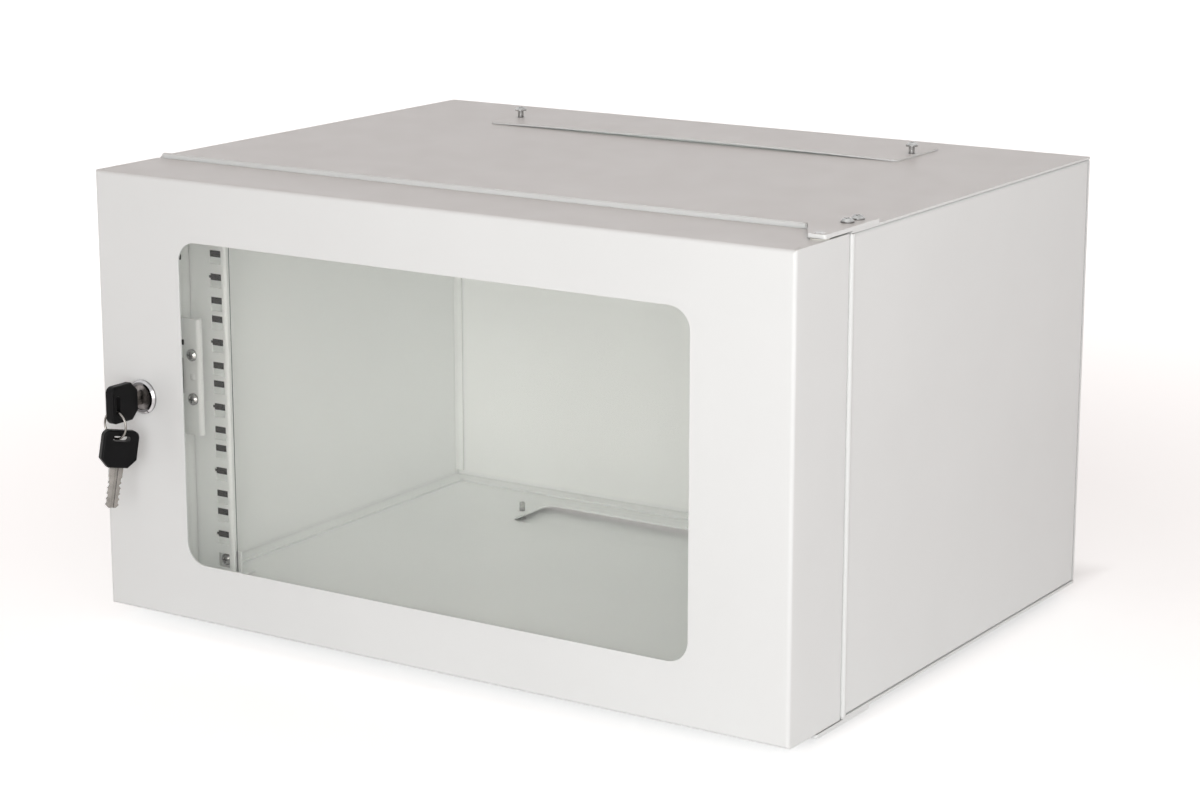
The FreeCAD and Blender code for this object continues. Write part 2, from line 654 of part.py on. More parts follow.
def lock_body():
    """The bezel and threaded barrel, turned in one piece and bored for the plug."""
    bezel = rod(BEZEL_R, on_lock_axis(-BEZEL_RISE), BEZEL_RISE, Y_AXIS)
    rim = lambda middle, edge: near(middle.y, Y_DOOR - BEZEL_RISE)
    bezel = bezel.makeChamfer(BEZEL_BEVEL, [e for e in bezel.Edges if rim(e.CenterOfMass, e)])
    barrel = rod(BARREL_R, on_lock_axis(0), BARREL_LENGTH, Y_AXIS)
    bore = rod(PLUG_R + PLUG_CLEARANCE, on_lock_axis(-BEZEL_RISE), BARREL_LENGTH + BEZEL_RISE, Y_AXIS)
    return bezel.fuse(barrel).cut(bore)


def lock_nut():
    nut = prism_across_flats(LOCK_NUT_AF, LOCK_NUT_HEIGHT, on_lock_axis(DOOR_SHEET), Y_AXIS)
    return nut.cut(rod(BARREL_R + THREAD_FIT, on_lock_axis(DOOR_SHEET), LOCK_NUT_HEIGHT, Y_AXIS))


def lock_plug():
    """The turning plug, with an upright keyway and a square tail for the cam."""
    plug = rod(PLUG_R, on_lock_axis(PLUG_FACE), BARREL_LENGTH - PLUG_FACE + CAM_FIT, Y_AXIS)
    tail = bar_along_y(on_lock_axis(BARREL_LENGTH), PLUG_TAIL, PLUG_TAIL, CAM_SHEET + CAM_FIT)
    plug = plug.fuse(tail)
    slot_x = BLADE_THICKNESS + 2 * BLADE_CLEARANCE
    slot_z = BLADE_WIDTH + 2 * BLADE_CLEARANCE
    keyway = bar_along_y(on_lock_axis(PLUG_FACE), slot_x, slot_z, KEYWAY_END - PLUG_FACE)
    bore = rod(SCREW_R + THREAD_FIT, on_lock_axis(KEYWAY_END), FAR, Y_AXIS)
    return plug.cut(keyway).cut(bore)


def lock_cam():
    """A flat cam that hangs down when unlocked and swings left behind the catch."""
    start = on_lock_axis(BARREL_LENGTH + 2 * CAM_FIT)
    half = CAM_WIDTH / 2
    hub = rod(CAM_HUB_R, start, CAM_SHEET, Y_AXIS)
    reach = CAM_REACH - half
    arm = box(start.x - half, start.x + half, start.y, start.y + CAM_SHEET, start.z - reach, start.z)
    tip = rod(half, start - Z_AXIS * reach, CAM_SHEET, Y_AXIS)
    square = bar_along_y(start, PLUG_TAIL + 2 * CAM_FIT, PLUG_TAIL + 2 * CAM_FIT, CAM_SHEET)
    return hub.fuse(arm).fuse(tip).cut(square)


def cam_screw():
    seat = on_lock_axis(BARREL_LENGTH + CAM_SHEET + 2 * CAM_FIT)
    return pan_screw(seat, Y_AXIS * -1, SCREW_R, CAM_SCREW_LENGTH)


# ---- strike ----
def strike_screw_spots():
    x = -(HALF - STRIKE_SCREW_X)
    y = Y_BODY - SHEET
    half = STRIKE_SCREW_SPACING / 2
    return [Vector(x, y, Z_MID + half), Vector(x, y, Z_MID - half)]


def strike_bracket():
    """A plate welded to the left front flange, notched round the catch, with a lip along its free edge."""
    x0 = -(HALF - STRIKE_OUTER)
    x1 = -(HALF - STRIKE_INNER)
    y0 = Y_BODY - SHEET
    low, high = Z_MID - STRIKE_HEIGHT / 2, Z_MID + STRIKE_HEIGHT / 2
    block = box(x0, x1, y0, y0 + STRIKE_LIP, low, high)
    block = round_edges(block, BEND, lambda middle, edge: near(middle.y, y0) and near(middle.x, x1))
    hollow = box(x0 - 1, x1 - SHEET, y0 + SHEET, FAR, low - 1, high + 1)
    inner = lambda middle, edge: near(middle.y, y0 + SHEET) and near(middle.x, x1 - SHEET)
    strike = block.cut(round_edges(hollow, BEND - SHEET, inner))
    half = CATCH_ARM_HEIGHT / 2 + STRIKE_ARM_GAP
    arm_side = -(HALF - CATCH_ARM_INSET) + SHEET + STRIKE_ARM_GAP
    strike = strike.cut(box(x0 - 1, arm_side, y0 - 1, Y_BODY + 1, Z_MID - half, Z_MID + half))
    ball_r = (DIMPLE_R ** 2 + DIMPLE_RISE ** 2) / (2 * DIMPLE_RISE)
    spot = Vector(-(HALF - STRIKE_SCREW_X), y0, Z_MID)
    ball = Part.makeSphere(ball_r, spot + Y_AXIS * (ball_r - DIMPLE_RISE))
    dimple = ball.common(rod(DIMPLE_R, spot - Y_AXIS * DIMPLE_RISE, DIMPLE_RISE + 0.2, Y_AXIS))
    strike = strike.fuse(dimple)
    for spot in strike_screw_spots():
        strike = strike.cut(rod(SCREW_R + SCREW_CLEARANCE, spot, SHEET, Y_AXIS))
    return strike


def lock_catch():
    """The catch behind the strike bracket, with an arm that reaches into the door to the cam."""
    back = Y_BODY
    arm_x = -(HALF - CATCH_ARM_INSET)
    hook_y = Y_DOOR + BARREL_LENGTH - CATCH_CAM_GAP - SHEET
    x1 = -(HALF - STRIKE_INNER) - 2 * SHEET
    plate = box(arm_x, x1, back, back + SHEET, Z_MID - CATCH_HEIGHT / 2, Z_MID + CATCH_HEIGHT / 2)
    half = CATCH_ARM_HEIGHT / 2
    arm = box(arm_x, arm_x + SHEET, hook_y, back + SHEET, Z_MID - half, Z_MID + half)
    hook = box(arm_x, arm_x + CATCH_HOOK, hook_y, hook_y + SHEET, Z_MID - half, Z_MID + half)
    catch = plate.fuse(arm).fuse(hook).removeSplitter()
    for spot in strike_screw_spots():
        start = Vector(spot.x, back, spot.z)
        catch = catch.cut(rod(SCREW_R + THREAD_FIT, start, SHEET, Y_AXIS))
    return catch


def strike_screws():
    return group([pan_screw(spot, Y_AXIS, SCREW_R, 2.6 * SHEET) for spot in strike_screw_spots()])


# ---- keys, drawn in the YZ plane with the tip towards +Y and the shoulder at the origin ----
def blade_edge(side):
    """One long edge of the blade, from the bow to the tip, with its cuts."""
    half_w = BLADE_WIDTH / 2
    points = [(-BLADE_IN_BOW, side * half_w)]
    first = BLADE_LENGTH - TIP_TAPER - CUT_PITCH * len(CUT_DEPTHS)
    for index, depth in enumerate(CUT_DEPTHS):
        y = first + CUT_PITCH * index
        floor = side * (half_w - depth)
        points += [(y, side * half_w), (y + depth, floor), (y + CUT_PITCH - depth - 0.4, floor)]
    tip = BLADE_LENGTH - TIP_TAPER
    points += [(tip, side * half_w), (BLADE_LENGTH, side * (half_w - TIP_TAPER))]
    return [(-BLADE_THICKNESS / 2, y, z) for y, z in points]


def key_blade_shape():
    """A flat blade, cut along both edges, with a groove down each face."""
    blade = outline_solid(blade_edge(-1) + blade_edge(1)[::-1], X_AXIS * BLADE_THICKNESS)
    half = BLADE_GROOVE_WIDTH / 2
    for face in (-BLADE_THICKNESS / 2, BLADE_THICKNESS / 2):
        groove = box(face - BLADE_GROOVE, face + BLADE_GROOVE, 0, BLADE_LENGTH, -half, half)
        blade = blade.cut(groove)
    return blade


def key_bow_shape():
    """A moulded bow, square at its end and shouldered at the blade, with a slot for a ring."""
    half = BOW_SIZE / 2
    far, shoulder = -BOW_SIZE, -BOW_SHOULDER
    neck = half - BOW_SHOULDER
    points = [(far, -half), (shoulder, -half), (0, -neck), (0, neck), (shoulder, half), (far, half)]
    bow = outline_solid([(-BOW_THICKNESS / 2, y, z) for y, z in points], X_AXIS * BOW_THICKNESS)
    bow = round_edges(bow, BOW_CORNER, lambda middle, edge: near(middle.y, far) and along(edge, X_AXIS))
    bow = round_edges(bow, BOW_EDGE, lambda middle, edge: near(abs(middle.x), BOW_THICKNESS / 2))
    slot = rounded_plate(BOW_SLOT_WIDTH, BOW_SLOT_LENGTH, BOW_SLOT_WIDTH / 2 - 0.05, 3 * BOW_THICKNESS)
    slot.rotate(Vector(), Vector(1, 1, 1), 120)
    slot_y = far + BOW_SLOT_FROM_END + BOW_SLOT_WIDTH / 2
    bow = bow.cut(slot.translated(Vector(-1.5 * BOW_THICKNESS, slot_y, 0)))
    return bow.cut(blade_pocket())


def blade_pocket():
    half_t, half_w = BLADE_THICKNESS / 2, BLADE_WIDTH / 2
    return box(-half_t, half_t, -BLADE_IN_BOW, 1, -half_w, half_w)


def ring_sag(skew):
    """How far the ring's wire curves away across half the bow's thickness."""
    half = BOW_THICKNESS / 2 / math.cos(math.radians(skew))
    return RING_MEAN_R - math.sqrt(RING_MEAN_R ** 2 - half ** 2)


def slot_middle_y():
    return -BOW_SIZE + BOW_SLOT_FROM_END + BOW_SLOT_WIDTH / 2


def slot_low_end():
    """The middle of the ring's wire where it hangs in the low end of the slot."""
    room = RING_WIRE_R + RING_GAP + ring_sag(0)
    return Vector(0, slot_middle_y(), room - BOW_SLOT_LENGTH / 2)


def key_shoulder():
    """Where the bow of the key in the lock ends and its bare blade begins."""
    return on_lock_axis(-BOW_STANDOFF)


def ring_top():
    return key_shoulder() + slot_low_end()


def ring_bottom():
    return ring_top() - Z_AXIS * (2 * RING_MEAN_R)


def key_ring():
    """A split ring, drawn closed, hanging through the slot of the key in the lock."""
    return Part.makeTorus(RING_MEAN_R, RING_WIRE_R, ring_top() - Z_AXIS * RING_MEAN_R, Y_AXIS)


def spare_place():
    """Hangs the spare key on the ring, with its centre of mass under the point that carries it."""
    blade, bow = key_blade_shape().Solids[0], key_bow_shape().Solids[0]
    blade_mass = blade.Volume * STEEL_DENSITY
    bow_mass = bow.Volume * PLASTIC_DENSITY
    centre = (blade.CenterOfMass * blade_mass + bow.CenterOfMass * bow_mass) * (1 / (blade_mass + bow_mass))
    room = RING_WIRE_R + RING_GAP
    skew = 90 - SPARE_TURN
    sideways = BOW_THICKNESS / 2 * math.tan(math.radians(skew)) + room / math.cos(math.radians(skew))
    swing_room = BOW_THICKNESS / 2 * math.tan(math.radians(skew)) * math.sin(math.radians(SPARE_SWING))
    y = -BOW_SIZE + BOW_SLOT_FROM_END + room + ring_sag(skew) + swing_room
    held = Vector(0, y, sideways + swing_room - BOW_SLOT_LENGTH / 2)
    lean = math.degrees(math.atan2(centre.z - held.z, centre.y - held.y))
    upright = FreeCAD.Rotation(X_AXIS, -90 - lean)
    turned = FreeCAD.Rotation(Z_AXIS, SPARE_TURN).multiply(FreeCAD.Rotation(Z_AXIS, -90)).multiply(upright)
    return FreeCAD.Placement(ring_bottom() - turned.multVec(held), turned)


def placed(shape, place):
    moved = shape.copy()
    moved.Placement = place.multiply(moved.Placement)
    return moved


def build():
    side, rail_right = side_panel(), rail()
    bracket, pin, bush = hinge_bracket(), hinge_pin(), hinge_bush()
    cover, screws = cable_cover(), cover_screws()
    spare = spare_place()
    in_lock = FreeCAD.Placement(key_shoulder(), FreeCAD.Rotation())
    return {
        "right_side_panel": side,
        "left_side_panel": mirror_lr(side),
        "rear_panel": rear_panel(),
        "top_panel": lipped_panel(ROOF_LIP),
        "bottom_panel": mirror_ud(lipped_panel(FLOOR_LIP)),
        "right_rail": rail_right,
        "left_rail": mirror_lr(rail_right),
        "rail_tabs": four_ways(rail_tab()),
        "rail_screws": four_ways(rail_screw()),
        "rail_nuts": four_ways(rail_nut()),
        "top_cable_cover": cover,
        "bottom_cable_cover": mirror_ud(cover).translated(Z_AXIS * -COVER_LIFT),
        "top_cover_screws": screws,
        "bottom_cover_screws": mirror_ud(screws),
        "top_hinge_bracket": bracket,
        "bottom_hinge_bracket": mirror_ud(bracket),
        "top_hinge_screws": hinge_screws(),
        "bottom_hinge_screws": mirror_ud(hinge_screws()),
        "top_hinge_pin": pin,
        "bottom_hinge_pin": mirror_ud(pin),
        "top_hinge_bush": bush,
        "bottom_hinge_bush": mirror_ud(bush),
        "strike_bracket": strike_bracket(),
        "strike_screws": strike_screws(),
        "lock_catch": lock_catch(),
        "door_frame": door_frame(),
        "door_glass": door_glass(),
        "glass_tape": glass_tape(),
        "lock_body": lock_body(),
        "lock_nut": lock_nut(),
        "lock_plug": lock_plug(),
        "lock_cam": lock_cam(),
        "cam_screw": cam_screw(),
        "key_blade": placed(key_blade_shape(), in_lock),
        "key_bow": placed(key_bow_shape(), in_lock),
        "key_ring": key_ring(),
        "spare_key_blade": placed(key_blade_shape(), spare),
        "spare_key_bow": placed(key_bow_shape(), spare),
    }


for name, shape in build().items():
    shape.exportStep("parts/" + name + ".step")
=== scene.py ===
"""Looks of a wall-mount network cabinet: finishes, small fittings, studio and camera."""
import json
import math

import bmesh
import bpy
from mathutils import Matrix, Vector


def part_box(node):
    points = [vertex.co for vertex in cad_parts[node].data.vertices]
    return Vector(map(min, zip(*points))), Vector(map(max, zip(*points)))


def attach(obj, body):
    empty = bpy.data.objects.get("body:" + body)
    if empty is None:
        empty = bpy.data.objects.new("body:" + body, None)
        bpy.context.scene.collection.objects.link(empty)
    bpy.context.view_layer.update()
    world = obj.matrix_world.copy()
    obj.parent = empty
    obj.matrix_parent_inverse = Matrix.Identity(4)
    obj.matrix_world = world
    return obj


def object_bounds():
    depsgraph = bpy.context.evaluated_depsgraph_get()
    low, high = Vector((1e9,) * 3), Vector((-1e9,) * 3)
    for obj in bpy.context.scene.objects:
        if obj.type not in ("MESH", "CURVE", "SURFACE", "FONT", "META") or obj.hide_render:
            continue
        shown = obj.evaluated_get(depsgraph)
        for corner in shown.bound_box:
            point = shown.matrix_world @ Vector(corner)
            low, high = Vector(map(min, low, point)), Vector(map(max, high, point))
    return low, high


MM = 0.001

# ---- camera, above the roof and to the right of the door ----
CAMERA_PLACE = Vector((1.0262, -1.7700, 0.3346))
CAMERA_AZIMUTH = math.radians(33.07)
CAMERA_ELEVATION = math.radians(13.51)
CAMERA_LENS = 87.83
CAMERA_SENSOR = 36.0
CAMERA_CLIP = (0.05, 50.0)

# ---- studio: the sky's light by height, and the floor's glow by distance in metres ----
SKY_AT_HORIZON = (0.845, 0.880, 0.890)
SKY_OVERHEAD = (0.200, 0.110, 0.080)
SKY_BLEND_TOP = 0.9
FLOOR_REACH = 12.0
FLOOR_ALBEDO = 0.78
FLOOR_ROUGHNESS = 0.8
FLOOR_GLOW_NEAR = 0.55
FLOOR_GLOW_FAR = 0.85
GLOW_FROM, GLOW_TO = 0.4, 1.2
UNDER_GLOW = 0.15
UNDER_BEHIND = 0.14
UNDER_SIDE_FADE = 0.05
UNDER_FRONT_FADE = (0.16, 0.06)
LIGHT_BOUNCES = 16
DIFFUSE_BOUNCES = 12

# ---- colours, linear ----
PAINT = (0.868, 0.886, 0.880)
# the door wears the body's paint, set a little darker here as painted shade
DOOR_PAINTED_SHADE = 0.985
GLASS_TINT = (0.977, 0.965, 0.943)
GLASS_IOR = 1.36
TAPE = (0.012, 0.013, 0.012)
# lightened colour of the paint's sharp edges, a painted highlight
EDGE_HIGHLIGHT = (0.960, 0.965, 0.950)
CHROME = (0.56, 0.55, 0.56)
PLUG = (0.115, 0.108, 0.106)
ZINC = (0.40, 0.40, 0.395)
NICKEL = (0.31, 0.295, 0.275)
MOULDING = (0.004, 0.004, 0.0045)
NYLON = (0.74, 0.73, 0.68)

# ---- stretch of the metals' grain: more waves along one axis draw lines across it ----
EVEN = (1, 1, 1)
ACROSS_Y = (1, 6, 1)
ACROSS_Z = (1, 1, 6)

# ---- rail holes, as the solids have them ----
RACK_UNITS = 6
UNIT = 44.45 * MM
FIRST_UNIT_RISE = 1.8 * MM
UNIT_HOLES = (6.35 * MM, 22.225 * MM, 38.1 * MM)
HOLE_SPACING = 465.1 * MM
SQUARE_HOLE = 9.5 * MM
NOTCH_OFFSET = 5.3 * MM

# ---- dark plates of painted shade in the rail holes and in the unit notches ----
SHADE_PLATE_HEIGHT = 4.6 * MM
SHADE_PLATE_ROOM = 0.05 * MM
SHADE_PLATE_FRONT = 0.4 * MM
SHADE_PLATE_BACK = 1.4 * MM
SHADE_PLATE_EDGE = 0.15 * MM
NOTCH_SHADE_HALF = Vector((0.65, 0.3, 0.85)) * MM
NOTCH_SHADE_DEPTH = 0.7 * MM
NOTCH_SHADE_EDGE = 0.05 * MM

# ---- index mark on the lock bezel's chamfer ----
INDEX_LOW = Vector((-0.9, -0.04, -0.4)) * MM
INDEX_HIGH = Vector((0.9, 0.3, 0.4)) * MM
INDEX_EDGE = 0.08 * MM
INDEX_ANGLE = math.radians(60)
CHAMFER_PLACE = Vector((10.55, 0.65, 0)) * MM
CHAMFER_SLOPE = math.radians(45)

# ---- dark strips of painted shadow at the rails' free edges ----
EDGE_SHADOW_WIDTH = 0.20 * MM
EDGE_SHADOW_DEPTH = 0.5 * MM
EDGE_SHADOW_ROUND = 0.05 * MM

# ---- raised lip of the roof's front edge ----
LIP_RISE = 1.9 * MM
LIP_DROP = 2.0 * MM
LIP_FRONT = 0.1 * MM
LIP_BACK = 2.9 * MM
LIP_LEFT_INSET = 1.5 * MM
LIP_BRACKET_GAP = 1.0 * MM
LIP_EDGE = 0.6 * MM

# ---- rounded folds at the sides' front edges ----
BEAD_R = 2.6 * MM
BEAD_RISE = 1.0 * MM
BEAD_STEPS = 8
BEAD_LENGTH = 5.5 * MM
BEAD_SKIN = 0.02 * MM
BEAD_REAR_ROOT = 1.0 * MM
BEAD_FRONT_ROOT = 1.5 * MM
BEAD_FRONT = 0.05 * MM
BEAD_END_GAP = 0.2 * MM

# ---- ends of the glazing tape at the window's left edge ----
WINDOW_LEFT = -189.2 * MM
TAPE_END_HEIGHTS = (-9.5 * MM, -64.6 * MM)
TAPE_END_HALF_HEIGHT = 1.7 * MM
TAPE_END_HIDDEN = 1.0 * MM
TAPE_END_SHOWN = 1.1 * MM
TAPE_BEHIND_DOOR_FACE = 1.25 * MM
TAPE_BEFORE_GLASS = 0.05 * MM
TAPE_END_EDGE = 0.1 * MM

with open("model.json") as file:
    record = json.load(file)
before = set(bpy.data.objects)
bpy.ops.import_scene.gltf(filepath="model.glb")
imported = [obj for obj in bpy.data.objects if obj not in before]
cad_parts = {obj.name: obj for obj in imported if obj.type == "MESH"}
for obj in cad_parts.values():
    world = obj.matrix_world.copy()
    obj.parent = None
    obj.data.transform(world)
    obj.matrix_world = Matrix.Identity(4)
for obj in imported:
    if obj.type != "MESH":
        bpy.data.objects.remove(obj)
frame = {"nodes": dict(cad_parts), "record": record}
cad_low, cad_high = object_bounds()


# ---- shader helpers ----
def new_material(name):
    """A material with its node tree and its Principled shader."""
    material = bpy.data.materials.new(name)
    material.use_nodes = True
    tree = material.node_tree
    return material, tree, tree.nodes["Principled BSDF"]


def add_node(tree, kind, **values):
    """A node with its properties and unlinked inputs set by name."""
    node = tree.nodes.new(kind)
    for key, value in values.items():
        if key in node.inputs:
            node.inputs[key].default_value = value
        else:
            setattr(node, key, value)
    return node


def object_coordinates(tree):
    return add_node(tree, "ShaderNodeTexCoord").outputs["Object"]


def noise(tree, scale, detail=2.0, roughness=0.5, stretch=None):
    """Noise in the object's own space, its scale in waves per metre."""
    where = object_coordinates(tree)
    if stretch:
        mapping = add_node(tree, "ShaderNodeMapping", Scale=stretch)
        tree.links.new(where, mapping.inputs["Vector"])
        where = mapping.outputs["Vector"]
    node = add_node(tree, "ShaderNodeTexNoise", Scale=scale, Detail=detail, Roughness=roughness)
    tree.links.new(where, node.inputs["Vector"])
    return node.outputs["Fac"]


def mapped(tree, value, low, high, start=0.3, end=0.7):
    """Spreads a value over a range, by default the middle part of a noise."""
    node = add_node(tree, "ShaderNodeMapRange")
    node.inputs["From Min"].default_value = start
    node.inputs["From Max"].default_value = end
    node.inputs["To Min"].default_value = low
    node.inputs["To Max"].default_value = high
    tree.links.new(value, node.inputs["Value"])
    return node.outputs["Result"]


def tinted(tree, value, dark, light):
    """A colour between two, chosen by a value from 0 to 1."""
    node = add_node(tree, "ShaderNodeMix", data_type="RGBA")
    tree.links.new(value, node.inputs[0])
    node.inputs[6].default_value = (*dark, 1)
    node.inputs[7].default_value = (*light, 1)
    return node.outputs[2]


def mixed(tree, share, first, second):
    """Two colour outputs, mixed by a share of the second."""
    node = add_node(tree, "ShaderNodeMix", data_type="RGBA")
    tree.links.new(share, node.inputs[0])
    tree.links.new(first, node.inputs[6])
    tree.links.new(second, node.inputs[7])
    return node.outputs[2]


def scaled(tree, colour, level):
    """A colour output multiplied by a value."""
    node = add_node(tree, "ShaderNodeMix", data_type="RGBA", blend_type="MULTIPLY")
    node.inputs[0].default_value = 1.0
    tree.links.new(colour, node.inputs[6])
    tree.links.new(level, node.inputs[7])
    return node.outputs[2]


def combined(tree, operation, first, second):
    """One value from two, such as their product or the larger one."""
    node = add_node(tree, "ShaderNodeMath", operation=operation)
    tree.links.new(first, node.inputs[0])
    tree.links.new(second, node.inputs[1])
    return node.outputs[0]


def shade(colour, factor):
    return tuple(min(1.0, c * factor) for c in colour)


def speckled(tree, value, colour, darkest, lightest):
    """A colour that a noise varies between two shares of itself."""
    share = mapped(tree, value, 0.0, 1.0)
    return tinted(tree, share, shade(colour, darkest), shade(colour, lightest))


def bump(tree, shader, height, distance, strength, soft_edge=None):
    """Bumps the surface, with its sharp edges shaded as if rounded by soft_edge."""
    node = add_node(tree, "ShaderNodeBump", Distance=distance, Strength=strength)
    tree.links.new(height, node.inputs["Height"])
    if soft_edge:
        bevel = add_node(tree, "ShaderNodeBevel", samples=6, Radius=soft_edge)
        tree.links.new(bevel.outputs["Normal"], node.inputs["Normal"])
    tree.links.new(node.outputs["Normal"], shader.inputs["Normal"])


def edge_share(tree, radius):
    """Nought on flat faces, rising to one at sharp edges within a radius."""
    rounded = add_node(tree, "ShaderNodeBevel", samples=6, Radius=radius)
    flat = add_node(tree, "ShaderNodeNewGeometry")
    along = add_node(tree, "ShaderNodeVectorMath", operation="DOT_PRODUCT")
    tree.links.new(rounded.outputs["Normal"], along.inputs[0])
    tree.links.new(flat.outputs["Normal"], along.inputs[1])
    return mapped(tree, along.outputs["Value"], 1.0, 0.0, start=0.75, end=0.99)


def painted_front_reflection(tree, value):
    """A value where the object's own face looks forwards, and one elsewhere, to darken that face
    as a painted reflection.
    """
    along = add_node(tree, "ShaderNodeVectorMath", operation="DOT_PRODUCT")
    tree.links.new(add_node(tree, "ShaderNodeTexCoord").outputs["Normal"], along.inputs[0])
    along.inputs[1].default_value = (0, -1, 0)
    return mapped(tree, along.outputs["Value"], value, 1.0, start=0.97, end=0.85)


def painted_recess_shade(tree, colour, depth, darkest):
    """A colour output darkened in recesses no deeper than depth, as painted shade."""
    hollow = add_node(tree, "ShaderNodeAmbientOcclusion", samples=8, Distance=depth)
    open_share = mapped(tree, hollow.outputs["AO"], darkest, 1.0, start=0.25, end=0.95)
    return scaled(tree, colour, open_share)


# ---- materials ----
def powder_coat(name, colour):
    """Semi-gloss powder coat with fine orange peel, painted highlights along its sharp edges and
    painted shade in its recesses.
    """
    material, tree, shader = new_material(name)
    cloud = mapped(tree, noise(tree, scale=9.0, detail=3.0), 0.0, 1.0)
    film = tinted(tree, cloud, shade(colour, 0.985), shade(colour, 1.012))
    # painted highlight: the coat is lightened towards a pale colour at sharp edges
    edge_highlight = tinted(tree, cloud, shade(EDGE_HIGHLIGHT, 0.98), EDGE_HIGHLIGHT)
    coat = mixed(tree, edge_share(tree, radius=0.7 * MM), film, edge_highlight)
    # painted shade: the coat darkened in recesses up to 4 mm deep
    recess_shaded = painted_recess_shade(tree, coat, depth=4.0 * MM, darkest=0.80)
    gloss = mapped(tree, noise(tree, scale=60.0), 0.30, 0.38)
    peel = noise(tree, scale=700.0, detail=3.0, roughness=0.6)
    tree.links.new(recess_shaded, shader.inputs["Base Color"])
    tree.links.new(gloss, shader.inputs["Roughness"])
    bump(tree, shader, peel, distance=0.06 * MM, strength=0.22, soft_edge=0.5 * MM)
    return material


def safety_glass(name):
    """Clear toughened glass that lets lamp light through."""
    material, tree, shader = new_material(name)
    shader.inputs["Base Color"].default_value = (*GLASS_TINT, 1)
    shader.inputs["Transmission Weight"].default_value = 1.0
    shader.inputs["IOR"].default_value = GLASS_IOR
    tree.links.new(mapped(tree, noise(tree, scale=14.0), 0.0, 0.03), shader.inputs["Roughness"])
    clear = add_node(tree, "ShaderNodeBsdfTransparent", Color=(*GLASS_TINT, 1))
    path = add_node(tree, "ShaderNodeLightPath")
    either = add_node(tree, "ShaderNodeMixShader")
    tree.links.new(path.outputs["Is Shadow Ray"], either.inputs[0])
    tree.links.new(shader.outputs[0], either.inputs[1])
    tree.links.new(clear.outputs[0], either.inputs[2])
    tree.links.new(either.outputs[0], tree.nodes["Material Output"].inputs["Surface"])
    return material


def foam(name):
    """Closed-cell foam tape."""
    material, tree, shader = new_material(name)
    cells = noise(tree, scale=1600.0, detail=4.0, roughness=0.7)
    tree.links.new(speckled(tree, cells, TAPE, 0.7, 1.5), shader.inputs["Base Color"])
    shader.inputs["Roughness"].default_value = 0.9
    shader.inputs["Specular IOR Level"].default_value = 0.1
    bump(tree, shader, cells, distance=0.2 * MM, strength=0.8)
    return material


def plated(name, colour, smooth, rough, grain, stretch, front=1.0, glint_level=1.15):
    """Plated or brushed metal with a grain, a mottled tone whose lightest flecks can be painted
    glints, painted shade in recesses, and perhaps a front face darkened as a painted reflection.
    """
    material, tree, shader = new_material(name)
    shader.inputs["Metallic"].default_value = 1.0
    lines = noise(tree, grain, detail=4.0, roughness=0.65, stretch=stretch)
    clouds = noise(tree, scale=180.0, detail=3.0, roughness=0.6)
    # tone that differs at random; where its top level is high, the lightest flecks are painted
    # glints
    metal = speckled(tree, clouds, colour, 0.80, glint_level)
    # painted reflection: the face that looks forwards is darkened
    if front < 1.0:
        metal = scaled(tree, metal, painted_front_reflection(tree, front))
    # painted shade: the metal darkened in recesses up to 3 mm deep
    recess_shaded = painted_recess_shade(tree, metal, depth=3.0 * MM, darkest=0.15)
    tree.links.new(recess_shaded, shader.inputs["Base Color"])
    tree.links.new(mapped(tree, lines, smooth, rough), shader.inputs["Roughness"])
    bump(tree, shader, lines, distance=0.02 * MM, strength=0.5, soft_edge=0.15 * MM)
    return material


def moulded_plastic(name, colour, roughness, sheen=0.5):
    """Moulded plastic with a spark-eroded grain."""
    material, tree, shader = new_material(name)
    pits = noise(tree, scale=2200.0, detail=3.0, roughness=0.6)
    gloss = mapped(tree, noise(tree, scale=150.0), roughness, roughness + 0.12)
    tree.links.new(speckled(tree, pits, colour, 0.85, 1.15), shader.inputs["Base Color"])
    tree.links.new(gloss, shader.inputs["Roughness"])
    shader.inputs["Specular IOR Level"].default_value = sheen
    bump(tree, shader, pits, distance=0.05 * MM, strength=0.5, soft_edge=0.3 * MM)
    return material


FINISHES = {
    "body_paint": powder_coat("Body_powder_coat", PAINT),
    "door_paint": powder_coat("Door_powder_coat", shade(PAINT, DOOR_PAINTED_SHADE)),
    "safety_glass": safety_glass("Toughened_glass"),
    "foam_tape": foam("Foam_tape"),
    # the chrome's front face is darkened to a quarter, a painted reflection
    "lock_chrome": plated("Chrome_plate", CHROME, 0.08, 0.18, 900.0, EVEN, front=0.25),
    # the plug's and the zinc's lightest flecks are painted glints
    "plug_steel": plated("Dark_satin_steel", PLUG, 0.20, 0.40, 1500.0, ACROSS_Z, glint_level=2.6),
    "zinc_steel": plated("Zinc_plate", ZINC, 0.12, 0.28, 1200.0, EVEN, glint_level=1.7),
    "key_steel": plated("Nickel_silver", NICKEL, 0.16, 0.34, 1500.0, ACROSS_Y),
    "bow_plastic": moulded_plastic("Black_moulding", MOULDING, 0.32, sheen=0.12),
    "bush_plastic": moulded_plastic("Natural_nylon", NYLON, 0.45),
}


def dress_nodes():
    """Gives each CAD node the finish of its material slot."""
    for part in frame["record"]["subparts"]:
        mesh = frame["nodes"][part["node"]].data
        mesh.materials.clear()
        mesh.materials.append(FINISHES[part["material_slot"]])


# ---- small fittings ----
def block(mesh, low, high, edge):
    """Adds a box with rounded edges to a bmesh."""
    size = high - low
    middle = (low + high) / 2
    place = Matrix.Translation(middle) @ Matrix.Diagonal((*size, 1))
    made = bmesh.ops.create_cube(mesh, size=1.0, matrix=place)
    edges = {e for v in made["verts"] for e in v.link_edges}
    bmesh.ops.bevel(mesh, geom=list(edges), offset=edge, segments=2, affect="EDGES")


def fitting(name, mesh, slot, body):
    """Turns a bmesh into a piece that rides on a body with a slot's finish."""
    data = bpy.data.meshes.new(name)
    mesh.to_mesh(data)
    mesh.free()
    data.materials.append(FINISHES[slot])
    piece = bpy.data.objects.new(name, data)
    bpy.context.scene.collection.objects.link(piece)
    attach(piece, body)


